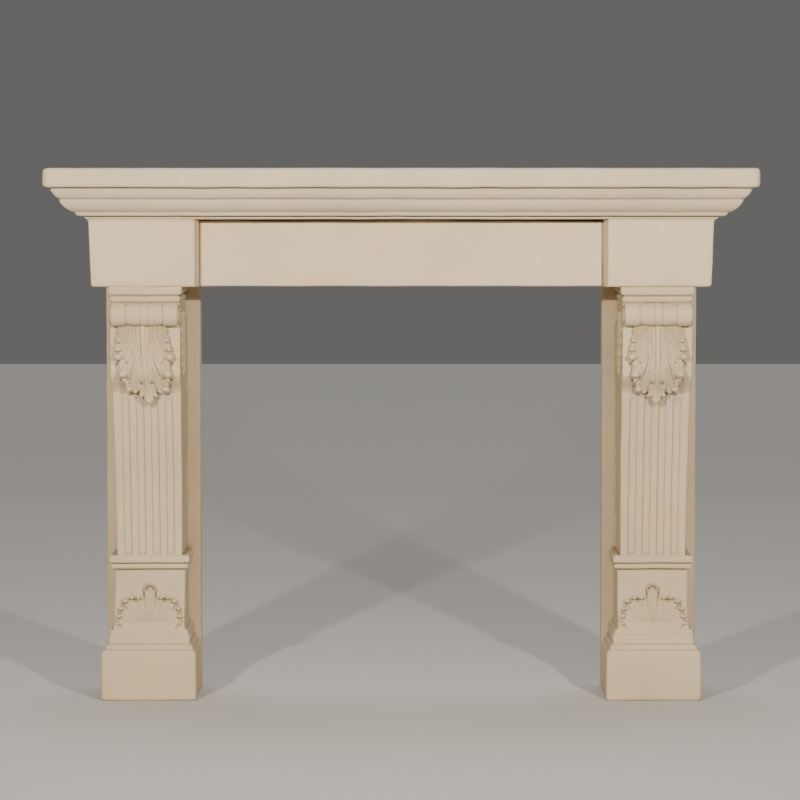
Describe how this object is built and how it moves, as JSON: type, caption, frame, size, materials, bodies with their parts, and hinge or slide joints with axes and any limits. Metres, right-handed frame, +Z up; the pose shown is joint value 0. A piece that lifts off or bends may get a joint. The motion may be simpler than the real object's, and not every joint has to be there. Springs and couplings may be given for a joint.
{
  "type": "fireplace mantelpiece",
  "caption": "Stone fire surround: moulded shelf, plain lintel, frieze blocks and fluted console jambs with a scroll, hanging acanthus leaf and shell.",
  "frame": {"origin": "floor level, under the middle of the box around the whole piece", "axes": "+X to the right as one faces the fire, +Y towards the wall, +Z up"},
  "size_m": [1.698, 0.418, 1.292],
  "materials": {
    "shelf_stone": "fine, pale cream limestone, dry and matte, with softened edges",
    "frieze_stone": "fine, pale cream limestone, plain rubbed faces, matte",
    "jamb_stone": "fine, pale cream limestone, carved, worn edges, matte"
  },
  "bodies": {
    "root": {"mantel_shelf": "shelf_stone", "lintel": "frieze_stone", "frieze_block_left": "frieze_stone", "frieze_block_right": "frieze_stone", "jamb_left": "jamb_stone", "jamb_right": "jamb_stone"}
  },
  "joints": []
}
